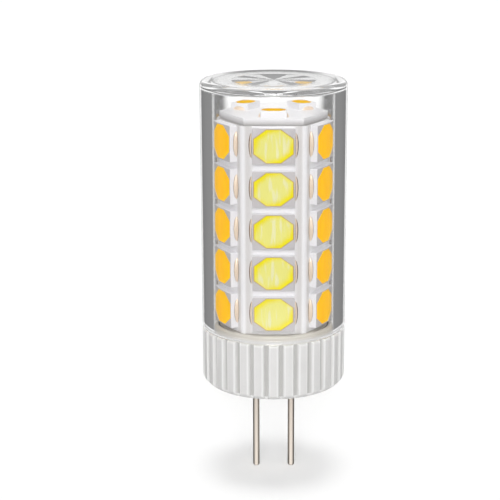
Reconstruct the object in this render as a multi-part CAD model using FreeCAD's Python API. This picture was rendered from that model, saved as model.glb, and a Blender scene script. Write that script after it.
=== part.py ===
import FreeCAD, Part
import math
import os

from FreeCAD import Placement, Rotation, Vector

# A plug-in corn LED lamp with a two-pin base, in millimetres.
# The origin is the middle of the base's flat bottom, +Z runs up the lamp's axis,
# the pins stand along X below the bottom, and the first LED strip faces -Y.

# Contact pins
pin_spacing = 4.0
pin_diameter = 0.75
pin_length = 11.0
pin_tip_chamfer = 0.2
pin_root_diameter = 0.95
pin_ear_width = 1.6
pin_ear_thickness = 0.5
pin_ear_height = 0.6
pin_stand_out = 0.4
pin_hole_clearance = 0.05

# Ribbed ceramic base
base_height = 6.3
base_floor = 1.8
base_bottom_chamfer = 0.5
base_top_chamfer = 0.2
rib_count = 30
groove_width = 0.4
groove_depth = 0.45
rib_edge_bevel = 0.22
spigot_height = 0.75
spigot_wall = 0.5
spigot_chamfer = 0.25
board_ledge = 0.4

# Driver board in the mouth of the base
board_thickness = 1.0
board_clearance = 0.1

# Column of upright strips
strip_count = 6
column_across_flats = 11.0
strip_thickness = 0.8
strip_seam = 0.12
tab_width = 3.0
tab_clearance = 0.05
row_count = 5
row_pitch = 4.6
foot_to_first_row = 2.4
last_row_to_top = 2.05

# Board that closes the column
top_board_thickness = 0.75
top_board_setback = 0.3
top_led_count = 3
top_led_inset = 1.6

# LED packages: width across the strip, length along it, height off the board
led_width = 4.3
led_length = 3.9
led_height = 0.7
led_corner_cut_across = 1.28
led_corner_cut_along = 1.0
terminal_length = 2.75
terminal_reach = 0.33
terminal_corner_cut = 0.6
top_led_width = 2.7
top_led_length = 2.2
top_led_corner_cut = 0.6
top_terminal_length = 1.5
top_terminal_reach = 0.25
top_terminal_corner_cut = 0.35
cup_wall = 0.12
cup_depth = 0.45
phosphor_drop = 0.05
terminal_thickness = 0.35

# Clear cover
cover_air_gap = 0.5
cover_fit_clearance = 0.08
cover_wall = 1.3
cover_top_wall = 0.8
cover_ceiling_gap = 1.85
cover_top_round = 0.6
cover_top_steps = 3
cover_ceiling_chamfer = 0.3
cover_rim_chamfer = 0.3
star_points = 8
star_depth = 0.3
star_margin = 1.8

# Driver parts under the board: length along X, width along Y, height down from the board
part_gap = 0.2
bridge_length = 4.0
bridge_width = 3.0
bridge_height = 2.5
bridge_lead_reach = 0.3
bridge_lead_pitch = 2.5
lead_width = 0.5
lead_thickness = 0.2
inductor_length = 2.6
inductor_width = 2.6
inductor_height = 2.0
ic_length = 1.6
ic_width = 2.9
ic_height = 1.1
ic_lead_reach = 0.4
ic_lead_pitch = 0.95
ic_lead_count = 3
driver_split = -0.15
diode_length = 1.25
diode_width = 1.7
diode_height = 0.9
diode_lead_reach = 0.3
capacitor_length = 1.25
capacitor_width = 2.0
capacitor_height = 1.25
resistor_length = 0.8
resistor_width = 1.6
resistor_height = 0.45
end_cap_length = 0.35
end_cap_skin = 0.03

# Heights, from the base's bottom up
foot_z = base_height + spigot_height
board_bottom = foot_z - board_thickness
strip_length = foot_to_first_row + (row_count - 1) * row_pitch + last_row_to_top
strip_top = foot_z + strip_length
top_board_top = strip_top + top_board_thickness
ceiling_z = top_board_top + led_height + cover_ceiling_gap
cover_top = ceiling_z + cover_top_wall

# Radii, from the column out
half_face_angle = math.pi / strip_count
column_radius = column_across_flats / 2
cover_inner_radius = column_radius + led_height + cover_air_gap
cover_radius = cover_inner_radius + cover_wall
spigot_radius = cover_inner_radius - cover_fit_clearance
board_pocket_radius = spigot_radius - spigot_wall
board_radius = board_pocket_radius - board_clearance
cavity_radius = board_pocket_radius - board_ledge
pin_radius = pin_diameter / 2
pin_hole_radius = pin_radius + pin_hole_clearance
root_hole_radius = pin_root_diameter / 2 + pin_hole_clearance
parts_edge = pin_hole_radius + part_gap

AXIS = Vector(0, 0, 1)


def polygon_face(points):
    return Part.Face(Part.makePolygon(points + points[:1]))


def box(x_size, y_size, z_low, z_high, x_middle=0.0, y_middle=0.0):
    corner = Vector(x_middle - x_size / 2, y_middle - y_size / 2, z_low)
    return Part.makeBox(x_size, y_size, z_high - z_low, corner)


def cylinder(radius, z_low, z_high, x=0.0, y=0.0):
    return Part.makeCylinder(radius, z_high - z_low, Vector(x, y, z_low))


def line(start, end):
    return Part.LineSegment(Vector(*start), Vector(*end)).toShape()


def arc(start, middle, end):
    return Part.Arc(Vector(*start), Vector(*middle), Vector(*end)).toShape()


def at_angle(radius, angle, z=0.0):
    return Vector(radius * math.cos(angle), radius * math.sin(angle), z)


def strip_angle(index):
    return -math.pi / 2 + index * 2 * half_face_angle


def strip_frame(index):
    """Local X runs across strip number index, Y up along it, and Z outward from its face."""
    angle = strip_angle(index)
    outward = at_angle(1, angle)
    across = AXIS.cross(outward)
    return Placement(at_angle(column_radius, angle, foot_z), Rotation(across, AXIS, outward, "ZXY"))


def top_led_frame(index):
    """Local Y points outward over the top board and Z up from it."""
    angle = strip_angle(0) + index * 2 * math.pi / top_led_count
    outward = at_angle(1, angle)
    reach = column_radius - top_board_setback - top_led_inset
    rotation = Rotation(outward.cross(AXIS), outward, AXIS, "ZXY")
    return Placement(at_angle(reach, angle, top_board_top), rotation)


def placed(shape, placement):
    copy = shape.copy()
    copy.Placement = placement.multiply(copy.Placement)
    return copy


# Contact pins

def contact_pin(side):
    """Wire with a bevelled tip, a thicker root in the base's floor, and flat ears that rest on it."""
    root_radius = pin_root_diameter / 2
    tip = -pin_length
    top = foot_z + pin_stand_out
    wire = polygon_face([
        Vector(0, 0, tip), Vector(pin_radius - pin_tip_chamfer, 0, tip),
        Vector(pin_radius, 0, tip + pin_tip_chamfer), Vector(pin_radius, 0, 0),
        Vector(root_radius, 0, 0), Vector(root_radius, 0, base_floor),
        Vector(pin_radius, 0, base_floor), Vector(pin_radius, 0, top), Vector(0, 0, top),
    ]).revolve(Vector(), AXIS, 360)
    ears = box(pin_ear_width, pin_ear_thickness, base_floor, base_floor + pin_ear_height)
    return placed(wire.fuse(ears), Placement(Vector(side * pin_spacing / 2, 0, 0), Rotation()))


# Ribbed base

def ribbed_outline():
    """Plan of the ribs: crest arcs, bevelled rib edges, and grooves with upright walls."""
    pitch = 2 * math.pi / rib_count
    half = groove_width / 2
    root = cover_radius - groove_depth
    spread = math.asin((half + rib_edge_bevel) / cover_radius)
    wall_top = cover_radius * math.cos(spread) - rib_edge_bevel
    edges = []
    for index in range(rib_count):
        angle = index * pitch
        radial = at_angle(1, angle)
        across = AXIS.cross(radial)
        crest_right = at_angle(cover_radius, angle + spread)
        crest_middle = at_angle(cover_radius, angle + pitch / 2)
        crest_end = at_angle(cover_radius, angle + pitch - spread)
        groove = [
            at_angle(cover_radius, angle - spread),
            radial * wall_top - across * half, radial * root - across * half,
            radial * root + across * half, radial * wall_top + across * half,
            crest_right,
        ]
        edges += [line(near, far) for near, far in zip(groove, groove[1:])]
        edges.append(arc(crest_right, crest_middle, crest_end))
    return Part.Face(Part.Wire(edges))


def edge_cutter(z_edge, chamfer, inward):
    """Ring that bevels the ribs' outer edge at height z_edge; inward is +1 up or -1 down."""
    reach = cover_radius + chamfer
    points = [Vector(cover_radius - chamfer, 0, z_edge), Vector(reach, 0, z_edge),
              Vector(reach, 0, z_edge + inward * 2 * chamfer)]
    return polygon_face(points).revolve(Vector(), AXIS, 360)


def ceramic_base():
    ribs = ribbed_outline().extrude(AXIS * base_height)
    ribs = ribs.cut(edge_cutter(0, base_bottom_chamfer, 1))
    ribs = ribs.cut(edge_cutter(base_height, base_top_chamfer, -1))
    shoulder = foot_z - spigot_chamfer
    spigot = polygon_face([
        Vector(0, 0, base_floor), Vector(spigot_radius, 0, base_floor), Vector(spigot_radius, 0, shoulder),
        Vector(spigot_radius - spigot_chamfer, 0, foot_z), Vector(0, 0, foot_z),
    ]).revolve(Vector(), AXIS, 360)
    body = ribs.fuse(spigot)
    body = body.cut(cylinder(cavity_radius, base_floor, foot_z + spigot_height))
    body = body.cut(cylinder(board_pocket_radius, board_bottom, foot_z + spigot_height))
    for side in (-1, 1):
        body = body.cut(cylinder(root_hole_radius, -base_floor, 2 * base_floor, side * pin_spacing / 2))
    return body.removeSplitter()


# Boards

def driver_board():
    board = cylinder(board_radius, board_bottom, foot_z)
    slot = box(tab_width + 2 * tab_clearance, 3 * board_thickness, -strip_thickness - tab_clearance, tab_clearance)
    for index in range(strip_count):
        board = board.cut(placed(slot, strip_frame(index)))
    for side in (-1, 1):
        x = side * pin_spacing / 2
        board = board.cut(cylinder(pin_hole_radius, board_bottom - board_thickness, foot_z + board_thickness, x))
    return board


def led_strip(index):
    """Upright strip with mitred long edges and a tab that goes through the driver board."""
    slope = math.tan(half_face_angle)
    seam = strip_seam / 2 / math.cos(half_face_angle)
    outer = column_radius * slope - seam
    inner = (column_radius - strip_thickness) * slope - seam
    section = polygon_face([
        Vector(-outer, 0, 0), Vector(outer, 0, 0),
        Vector(inner, 0, -strip_thickness), Vector(-inner, 0, -strip_thickness),
    ])
    blade = section.extrude(Vector(0, strip_length, 0))
    tab = box(tab_width, board_thickness, -strip_thickness, 0, 0, -board_thickness / 2)
    return placed(blade.fuse(tab).removeSplitter(), strip_frame(index))


def top_board():
    corner = (column_radius - top_board_setback) / math.cos(half_face_angle)
    corners = [at_angle(corner, strip_angle(index) + half_face_angle, strip_top) for index in range(strip_count)]
    return polygon_face(corners).extrude(AXIS * top_board_thickness)


# LED packages, each drawn flat with its back on Z = 0

def octagon(width, length, cut_across, cut_along, z):
    x = width / 2
    y = length / 2
    return polygon_face([
        Vector(x, y - cut_along, z), Vector(x - cut_across, y, z),
        Vector(cut_across - x, y, z), Vector(-x, y - cut_along, z),
        Vector(-x, cut_along - y, z), Vector(cut_across - x, -y, z),
        Vector(x - cut_across, -y, z), Vector(x, cut_along - y, z),
    ])


def led_cup(width, length, cut_across, cut_along, height):
    """The space inside a package: an octagonal prism of the given height on the cup's floor."""
    floor = led_height - cup_depth
    face = octagon(width - 2 * cup_wall, length - 2 * cup_wall, cut_across, cut_along, floor)
    return face.extrude(AXIS * height)


def led_housing(width, length, cut_across, cut_along):
    body = box(width, length, 0, led_height)
    return body.cut(led_cup(width, length, cut_across, cut_along, 2 * cup_depth))


def led_phosphor(width, length, cut_across, cut_along):
    return led_cup(width, length, cut_across, cut_along, cup_depth - phosphor_drop)


def led_terminals(width, length, reach, corner_cut):
    """Two plates with cut corners, one at each side of a package."""
    inner = width / 2
    outer = inner + reach
    half = length / 2
    plate = polygon_face([
        Vector(inner, -half, 0), Vector(outer, corner_cut - half, 0),
        Vector(outer, half - corner_cut, 0), Vector(inner, half, 0),
    ]).extrude(AXIS * terminal_thickness)
    opposite = placed(plate, Placement(Vector(), Rotation(AXIS, 180)))
    return Part.makeCompound([plate, opposite])


strip_package = (led_width, led_length, led_corner_cut_across, led_corner_cut_along)
top_package = (top_led_width, top_led_length, top_led_corner_cut, top_led_corner_cut)
strip_terminal = (led_width, terminal_length, terminal_reach, terminal_corner_cut)
top_terminal = (top_led_width, top_terminal_length, top_terminal_reach, top_terminal_corner_cut)


def on_strip(shape, index):
    """Copies of one shape at every LED place of a strip."""
    frame = strip_frame(index)
    copies = []
    for row in range(row_count):
        step = Placement(Vector(0, foot_to_first_row + row * row_pitch, 0), Rotation())
        copies += placed(shape, frame.multiply(step)).Solids
    return Part.makeCompound(copies)


def on_top(shape):
    copies = []
    for index in range(top_led_count):
        copies += placed(shape, top_led_frame(index)).Solids
    return Part.makeCompound(copies)


# Clear cover

def star_hollow():
    """Shallow fan of facets cut up into the cover's top, from its middle to a star-shaped rim."""
    corner_count = 2 * star_points
    radius = cover_inner_radius - cover_ceiling_chamfer - star_margin
    low = ceiling_z - star_depth
    middle = Vector(0, 0, ceiling_z + star_depth / 2)
    rim = []
    for index in range(corner_count):
        lift = star_depth if index % 2 else 0.0
        rim.append(at_angle(radius, strip_angle(0) + index * math.pi / star_points, ceiling_z + lift))
    foot = [Vector(point.x, point.y, low) for point in rim]
    faces = [polygon_face(foot)]
    for index in range(corner_count):
        after = (index + 1) % corner_count
        faces.append(polygon_face([rim[index], rim[after], middle]))
        faces.append(polygon_face([foot[index], foot[after], rim[after], rim[index]]))
    return Part.makeSolid(Part.makeShell(faces))


def clear_cover():
    """Turned cup with its mouth down; the round of its top edge is a few short bevels."""
    outer = cover_radius
    inner = cover_inner_radius
    low = base_height
    round_x = outer - cover_top_round
    round_z = cover_top - cover_top_round
    outline = [
        Vector(0, 0, cover_top), Vector(0, 0, ceiling_z), Vector(inner - cover_ceiling_chamfer, 0, ceiling_z),
        Vector(inner, 0, ceiling_z - cover_ceiling_chamfer), Vector(inner, 0, low),
        Vector(outer - cover_rim_chamfer, 0, low), Vector(outer, 0, low + cover_rim_chamfer),
    ]
    for step in range(cover_top_steps + 1):
        turn = step * math.pi / 2 / cover_top_steps
        x = round_x + cover_top_round * math.cos(turn)
        outline.append(Vector(x, 0, round_z + cover_top_round * math.sin(turn)))
    return polygon_face(outline).revolve(Vector(), AXIS, 360).cut(star_hollow())


# Driver parts, hung from the board's underside

def hung(shape, x, y):
    return placed(shape, Placement(Vector(x, y, board_bottom), Rotation()))


def fused(pieces):
    return pieces[0].multiFuse(pieces[1:]).removeSplitter()


def chip(length, width, height):
    """A small block part with a metal cap on each end."""
    body = box(length - 2 * end_cap_skin, width, end_cap_skin - height, 0)
    caps = [box(length, end_cap_length, -height, 0, 0, side * (width - end_cap_length) / 2) for side in (-1, 1)]
    return fused([body] + caps)


def bridge_rectifier():
    pieces = [box(bridge_length, bridge_width, -bridge_height, 0)]
    for x_side in (-1, 1):
        x = x_side * bridge_lead_pitch / 2
        pieces.append(box(lead_width, bridge_width + 2 * bridge_lead_reach, -lead_thickness, 0, x))
    return hung(fused(pieces), 0, parts_edge + bridge_lead_reach + bridge_width / 2)


def driver_ic():
    pieces = [box(ic_length, ic_width, -ic_height, 0)]
    for index in range(ic_lead_count):
        y = (index - (ic_lead_count - 1) / 2) * ic_lead_pitch
        pieces.append(box(ic_length + 2 * ic_lead_reach, lead_width, -lead_thickness, 0, 0, y))
    x = driver_split + part_gap / 2 + ic_lead_reach + ic_length / 2
    return hung(fused(pieces), x, -parts_edge - ic_width / 2)


def inductor():
    x = driver_split - part_gap / 2 - inductor_length / 2
    block = chip(inductor_length, inductor_width, inductor_height)
    return hung(block, x, -parts_edge - inductor_width / 2)


def freewheel_diode():
    body = box(diode_length, diode_width, -diode_height, 0)
    lead = box(lead_width, diode_width + 2 * diode_lead_reach, -lead_thickness, 0)
    x = driver_split + 1.5 * part_gap + ic_length + 2 * ic_lead_reach + diode_length / 2
    return hung(fused([body, lead]), x, -parts_edge - diode_lead_reach - diode_width / 2)


def driver_capacitor(side):
    x = bridge_length / 2 + part_gap + capacitor_length / 2
    block = chip(capacitor_length, capacitor_width, capacitor_height)
    return hung(block, side * x, parts_edge + capacitor_width / 2)


def sense_resistor():
    x = driver_split - 1.5 * part_gap - inductor_length - resistor_length / 2
    block = chip(resistor_length, resistor_width, resistor_height)
    return hung(block, x, -parts_edge - resistor_width / 2)


def build():
    parts = {
        "ceramic_base": ceramic_base(),
        "contact_pin_left": contact_pin(-1),
        "contact_pin_right": contact_pin(1),
        "clear_cover": clear_cover(),
        "driver_board": driver_board(),
        "top_board": top_board(),
        "led_housings_top": on_top(led_housing(*top_package)),
        "led_phosphors_top": on_top(led_phosphor(*top_package)),
        "led_terminals_top": on_top(led_terminals(*top_terminal)),
        "bridge_rectifier": bridge_rectifier(),
        "driver_ic": driver_ic(),
        "inductor": inductor(),
        "freewheel_diode": freewheel_diode(),
        "input_capacitor": driver_capacitor(-1),
        "output_capacitor": driver_capacitor(1),
        "sense_resistor": sense_resistor(),
    }
    housing = led_housing(*strip_package)
    phosphor = led_phosphor(*strip_package)
    terminals = led_terminals(*strip_terminal)
    for index in range(strip_count):
        number = str(index + 1)
        parts["led_strip_" + number] = led_strip(index)
        parts["led_housings_strip_" + number] = on_strip(housing, index)
        parts["led_phosphors_strip_" + number] = on_strip(phosphor, index)
        parts["led_terminals_strip_" + number] = on_strip(terminals, index)
    return parts


os.makedirs("parts", exist_ok=True)
for name, shape in build().items():
    shape.exportStep("parts/" + name + ".step")
    print(name, "solids", len(shape.Solids), "volume", round(shape.Volume, 3), "valid", shape.isValid())
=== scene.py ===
# %% [markdown]
# # A plug-in corn LED lamp
# A lamp of this kind is a column of small circuit strips covered with LEDs, under a clear
# cover, on a ribbed ceramic base with two pins. The solids come first, as a fixed frame in
# metres, and everything below is fitted to them, so nothing has to be placed by eye.

# %% Load the frame
import math

import bmesh
import bpy
from mathutils import Matrix, Vector


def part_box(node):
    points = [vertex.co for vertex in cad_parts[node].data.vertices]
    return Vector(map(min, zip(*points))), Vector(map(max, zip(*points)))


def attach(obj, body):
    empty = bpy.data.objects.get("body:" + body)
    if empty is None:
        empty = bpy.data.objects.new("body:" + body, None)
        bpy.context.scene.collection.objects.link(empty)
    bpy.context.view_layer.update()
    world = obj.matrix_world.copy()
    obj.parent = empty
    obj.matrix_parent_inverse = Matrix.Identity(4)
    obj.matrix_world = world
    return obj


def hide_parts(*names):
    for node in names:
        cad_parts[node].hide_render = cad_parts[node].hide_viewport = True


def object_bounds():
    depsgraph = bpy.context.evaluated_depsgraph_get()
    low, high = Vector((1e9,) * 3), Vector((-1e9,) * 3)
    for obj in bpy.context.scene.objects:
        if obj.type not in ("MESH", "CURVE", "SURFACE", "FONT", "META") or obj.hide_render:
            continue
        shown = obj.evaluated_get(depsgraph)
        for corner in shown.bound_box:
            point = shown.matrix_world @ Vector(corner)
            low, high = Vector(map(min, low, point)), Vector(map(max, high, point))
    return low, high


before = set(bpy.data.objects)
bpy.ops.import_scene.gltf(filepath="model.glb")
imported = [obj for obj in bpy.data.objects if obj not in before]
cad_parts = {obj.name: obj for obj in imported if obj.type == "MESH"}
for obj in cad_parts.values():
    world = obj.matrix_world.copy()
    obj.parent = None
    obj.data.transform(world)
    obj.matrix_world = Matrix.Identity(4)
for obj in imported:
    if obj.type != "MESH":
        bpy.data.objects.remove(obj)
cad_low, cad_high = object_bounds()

mm = 0.001
# A point nearer to an axis than this lies on it.
on_axis = 1e-4 * mm
print("nodes", len(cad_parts), "box in mm", [round(v / mm, 2) for v in cad_high - cad_low])

# %% [markdown]
# ## Helpers
# A few small tools are used all the way down. A skin is a surface stretched through loops of
# points, which covers both turned pieces and moulded ones. A rounded outline replaces the
# corners of a profile by arcs, as a mould maker breaks every edge. A Boolean cuts holes and
# joins a block to a wire. A piece is a mesh that stands for one of the solids.

# %% Stretch a skin through loops of points
def skin(name, loops, bands=None):
    """Faces between neighbouring loops; a loop of one point closes an end, bands give material numbers."""
    points = []
    rings = []
    for loop in loops:
        rings.append(range(len(points), len(points) + len(loop)))
        points += loop
    faces = []
    numbers = []
    for band, (near, far) in enumerate(zip(rings, rings[1:])):
        count = max(len(near), len(far))
        for k in range(count):
            after = (k + 1) % count
            corners = [near[k % len(near)], near[after % len(near)],
                       far[after % len(far)], far[k % len(far)]]
            faces.append(list(dict.fromkeys(corners)))
            numbers.append(bands[band] if bands else 0)
    mesh = bpy.data.meshes.new(name)
    mesh.from_pydata(points, [], faces)
    mesh.polygons.foreach_set("material_index", numbers)
    shell = bmesh.new()
    shell.from_mesh(mesh)
    bmesh.ops.recalc_face_normals(shell, faces=shell.faces)
    shell.to_mesh(mesh)
    shell.free()
    return mesh


# %% Wrap a sheet through rows of points
def wrapped_skin(name, rows, bands):
    """Faces between neighbouring rows and from the last back to the first, with both ends capped."""
    points = [point for row in rows for point in row]
    width = len(rows[0])
    starts = range(0, len(points), width)
    faces = []
    numbers = []
    for band, near in enumerate(starts):
        far = (near + width) % len(points)
        for k in range(width - 1):
            faces.append((near + k, far + k, far + k + 1, near + k + 1))
            numbers.append(bands[band])
    faces.append(list(reversed(starts)))
    faces.append([start + width - 1 for start in starts])
    numbers += [bands[-1], bands[-1]]
    mesh = bpy.data.meshes.new(name)
    mesh.from_pydata(points, [], faces)
    mesh.polygons.foreach_set("material_index", numbers)
    return mesh


# %% Round the corners of a profile
def rounded(corners, steps=10):
    """Corners are (radius, height, round); each corner with a round becomes an arc."""
    outline = []
    for index, (x, z, size) in enumerate(corners):
        here = Vector((x, z))
        if size == 0:
            outline.append(here)
            continue
        before = (Vector(corners[index - 1][:2]) - here).normalized()
        after = (Vector(corners[index + 1][:2]) - here).normalized()
        half = before.angle(after) / 2
        middle = here + (before + after).normalized() * size / math.sin(half)
        start = (here + before * size / math.tan(half) - middle).normalized()
        end = (here + after * size / math.tan(half) - middle).normalized()
        for step in range(steps + 1):
            outline.append(middle + start.slerp(end, step / steps) * size)
    return outline


# %% Turn a profile about an upright axis
def turned_loops(outline, segments, x_middle=0.0):
    """One loop of points for each (radius, height) of the outline, about an axis at x_middle."""
    loops = []
    for radius, height in outline:
        if radius < on_axis:
            loops.append([(x_middle, 0.0, height)])
            continue
        turns = [2 * math.pi * k / segments for k in range(segments)]
        loops.append([(x_middle + radius * math.cos(t), radius * math.sin(t), height) for t in turns])
    return loops


# %% Eight-sided loops
def octagon(x, y, cut_across, cut_along, height):
    """A rectangle of half sizes x and y with its four corners cut off."""
    return [
        (x, y - cut_along, height), (x - cut_across, y, height),
        (cut_across - x, y, height), (-x, y - cut_along, height),
        (-x, cut_along - y, height), (cut_across - x, -y, height),
        (x - cut_across, -y, height), (x, cut_along - y, height),
    ]


# %% Cut or join two closed meshes
def combined(name, first, second, operation):
    """One mesh from two closed ones, by a Boolean that is applied at once."""
    things = [bpy.data.objects.new(mesh.name, mesh) for mesh in (first, second)]
    for thing in things:
        bpy.context.scene.collection.objects.link(thing)
    change = things[0].modifiers.new("change", "BOOLEAN")
    change.operation = operation
    change.object = things[1]
    changed = things[0].evaluated_get(bpy.context.evaluated_depsgraph_get())
    mesh = bpy.data.meshes.new_from_object(changed)
    mesh.name = name
    for thing in things:
        bpy.data.objects.remove(thing)
    return mesh


# %% Make a piece that stands for a solid
def piece(mesh, node, materials, sharp_degrees=30):
    """An object from a mesh, smooth but for its sharp edges, in place of a node of the frame."""
    thing = bpy.data.objects.new(mesh.name, mesh)
    bpy.context.scene.collection.objects.link(thing)
    mesh.shade_smooth()
    mesh.set_sharp_from_angle(angle=math.radians(sharp_degrees))
    for material in materials:
        mesh.materials.append(material)
    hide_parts(node)
    return thing


# %% [markdown]
# ## Tools for the finishes
# Colours are written the way a colour picker shows them and turned to linear light by one
# function. One function adds a node, sets its values and links it, so a finish reads from
# top to bottom. Pattern sizes are real sizes in millimetres.

# %% Colour, node and pattern tools
def colour(code):
    """An sRGB hex code as linear red, green, blue and alpha."""
    parts = [int(code[k:k + 2], 16) / 255 for k in (1, 3, 5)]
    linear = [p / 12.92 if p <= 0.04045 else ((p + 0.055) / 1.055) ** 2.4 for p in parts]
    return linear + [1.0]


def add_node(tree, kind, settings=None, links=None):
    """A number names a socket by its place: on a colour Mix, 6 and 7 are the colours and 2 the result."""
    node = tree.nodes.new(kind)
    for name, value in (settings or {}).items():
        if isinstance(name, int) or name in node.inputs:
            node.inputs[name].default_value = value
        else:
            setattr(node, name, value)
    for name, source in (links or {}).items():
        tree.links.new(source, node.inputs[name])
    return node


def per_metre(size):
    """Texture scale for features of a size in metres."""
    return 1 / size


def new_material(name):
    material = bpy.data.materials.new(name)
    material.use_nodes = True
    return material, material.node_tree, material.node_tree.nodes["Principled BSDF"]


# %% [markdown]
# ## Steatite ceramic
# The base is pressed from steatite and fired without a glaze. That leaves a pale grey, even,
# half-matt surface with a faint cloudiness and a fine grain. Two noises do it: a wide one
# moves the grey a little, and a fine one gives the grain its bump. The edges of the ribs carry a
# painted highlight and the grooves a painted shade, so the mesh carries each point's distance
# from the nearest groove in millimetres, and the colour follows it. Cream cement that holds the
# cover shows on the spigot, where that value is 2.

# %% Steatite: cloud and grain
steatite, tree, shader = new_material("steatite_ceramic")
place = add_node(tree, "ShaderNodeTexCoord")
cloud_size = 3.0 * mm
grain_size = 0.25 * mm
grain_share = 0.4
cloud = add_node(tree, "ShaderNodeTexNoise", {"Scale": per_metre(cloud_size), "Detail": 3.0},
                 {"Vector": place.outputs["Object"]})
grain = add_node(tree, "ShaderNodeTexNoise", {"Scale": per_metre(grain_size), "Detail": 4.0},
                 {"Vector": place.outputs["Object"]})
both = add_node(tree, "ShaderNodeMath", {"operation": "MULTIPLY_ADD", 1: grain_share},
                {0: grain.outputs["Fac"], 2: cloud.outputs["Fac"]})
tone = add_node(tree, "ShaderNodeMapRange", {"From Min": 0.4, "From Max": 1.0}, {"Value": both.outputs[0]})
fired = add_node(tree, "ShaderNodeMix", {"data_type": "RGBA", 6: colour("#D8D7D6"), 7: colour("#E0DFDE")},
                 {0: tone.outputs[0]})
bump = add_node(tree, "ShaderNodeBump", {"Strength": 0.12, "Distance": 0.02 * mm},
                {"Height": grain.outputs["Fac"]})
tree.links.new(bump.outputs[0], shader.inputs["Normal"])
# Fired without a glaze, it has a broad soft sheen and no mirror image.
shader.inputs["Roughness"].default_value = 0.42
shader.inputs["IOR"].default_value = 1.55
print("made", steatite.name, "with a grain of", round(grain_size / mm, 2), "mm")

# %% Steatite: painted highlight on the rib edges, painted shade in the grooves, and cement
# Distances from the nearest groove, in millimetres.
highlight_rise = {"From Min": 0.2, "From Max": 0.36}
highlight_fall = {"From Min": 0.54, "From Max": 0.4}
groove_shade = {"From Min": 0.26, "From Max": 0.1}
spigot_cement = {"From Min": 1.2, "From Max": 1.8}
rib = add_node(tree, "ShaderNodeAttribute", {"attribute_name": "groove_distance"})
rise = add_node(tree, "ShaderNodeMapRange", highlight_rise, {"Value": rib.outputs["Fac"]})
fall = add_node(tree, "ShaderNodeMapRange", highlight_fall, {"Value": rib.outputs["Fac"]})
edge = add_node(tree, "ShaderNodeMath", {"operation": "MULTIPLY"}, {0: rise.outputs[0], 1: fall.outputs[0]})
# Painted highlight: the rib edges are painted paler where light catches them.
highlit_edges = add_node(tree, "ShaderNodeMix", {"data_type": "RGBA", 7: colour("#EDEDEC")},
                {0: edge.outputs[0], 6: fired.outputs[2]})
# Painted shade: the groove floors are painted greyer where shade falls.
groove_shading = add_node(tree, "ShaderNodeMapRange", groove_shade, {"Value": rib.outputs["Fac"]})
shaded_grooves = add_node(tree, "ShaderNodeMix", {"data_type": "RGBA", 7: colour("#BFBEBC")},
                 {0: groove_shading.outputs[0], 6: highlit_edges.outputs[2]})
cement = add_node(tree, "ShaderNodeMapRange", spigot_cement, {"Value": rib.outputs["Fac"]})
paint = add_node(tree, "ShaderNodeMix", {"data_type": "RGBA", 7: colour("#D3CEC4")},
                 {0: cement.outputs[0], 6: shaded_grooves.outputs[2]})
tree.links.new(paint.outputs[2], shader.inputs["Base Color"])
print("rib edges are palest from", highlight_rise["From Max"], "to", highlight_fall["From Max"], "mm off a groove")

# %% [markdown]
# ## Drawn nickel wire
# The pins are drawn wire with a nickel plating: a warm grey mirror, blurred along its length
# by fine drawing lines. A noise stretched along the pin varies the roughness, so the long
# highlight breaks up a little.

# %% Drawn nickel wire
nickel, tree, shader = new_material("drawn_nickel")
place = add_node(tree, "ShaderNodeTexCoord")
line_spacing = 0.12 * mm
line_stretch = 50
stretch = add_node(tree, "ShaderNodeMapping", {"Scale": (1.0, 1.0, 1 / line_stretch)},
                   {"Vector": place.outputs["Object"]})
lines = add_node(tree, "ShaderNodeTexNoise", {"Scale": per_metre(line_spacing), "Detail": 2.0},
                 {"Vector": stretch.outputs[0]})
rough = add_node(tree, "ShaderNodeMapRange", {"To Min": 0.24, "To Max": 0.36},
                 {"Value": lines.outputs["Fac"]})
paint = add_node(tree, "ShaderNodeMix", {"data_type": "RGBA", 6: colour("#E3D6C8"), 7: colour("#F3EADF")},
                 {0: lines.outputs["Fac"]})
tree.links.new(paint.outputs[2], shader.inputs["Base Color"])
tree.links.new(rough.outputs[0], shader.inputs["Roughness"])
# Drawn wire shows one long bright streak between dark edges.
shader.inputs["Metallic"].default_value = 1.0
print("made", nickel.name)

# %% [markdown]
# ## Clear polycarbonate
# The cover is injection-moulded polycarbonate, polished in the mould. Its edges show only
# because the wall bends light, so the shader is a plain clear plastic with the true
# refraction, and the faint waviness of a moulded wall as a bump. Some rays stay in the wall
# and bounce along it. A renderer drops them after a few bounces and they come out black. On a
# real cover a long bounce along the top leads to the bright far side, and short bounces across
# the wall stay grey, so here the length of the last bounce says how such a ray ends.

# %% Clear polycarbonate
polycarbonate, tree, shader = new_material("clear_polycarbonate")
place = add_node(tree, "ShaderNodeTexCoord")
wave_size = 6.0 * mm
wave = add_node(tree, "ShaderNodeTexNoise", {"Scale": per_metre(wave_size), "Detail": 1.0},
                {"Vector": place.outputs["Object"]})
bump = add_node(tree, "ShaderNodeBump", {"Strength": 0.02, "Distance": 0.02 * mm},
                {"Height": wave.outputs["Fac"]})
tree.links.new(bump.outputs[0], shader.inputs["Normal"])
# Polished in the mould, it is seen only by its edges and by what it bends.
shader.inputs["Base Color"].default_value = colour("#FDFDFD")
shader.inputs["Roughness"].default_value = 0.0
shader.inputs["IOR"].default_value = 1.58
shader.inputs["Transmission Weight"].default_value = 1.0
print("made", polycarbonate.name)

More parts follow.
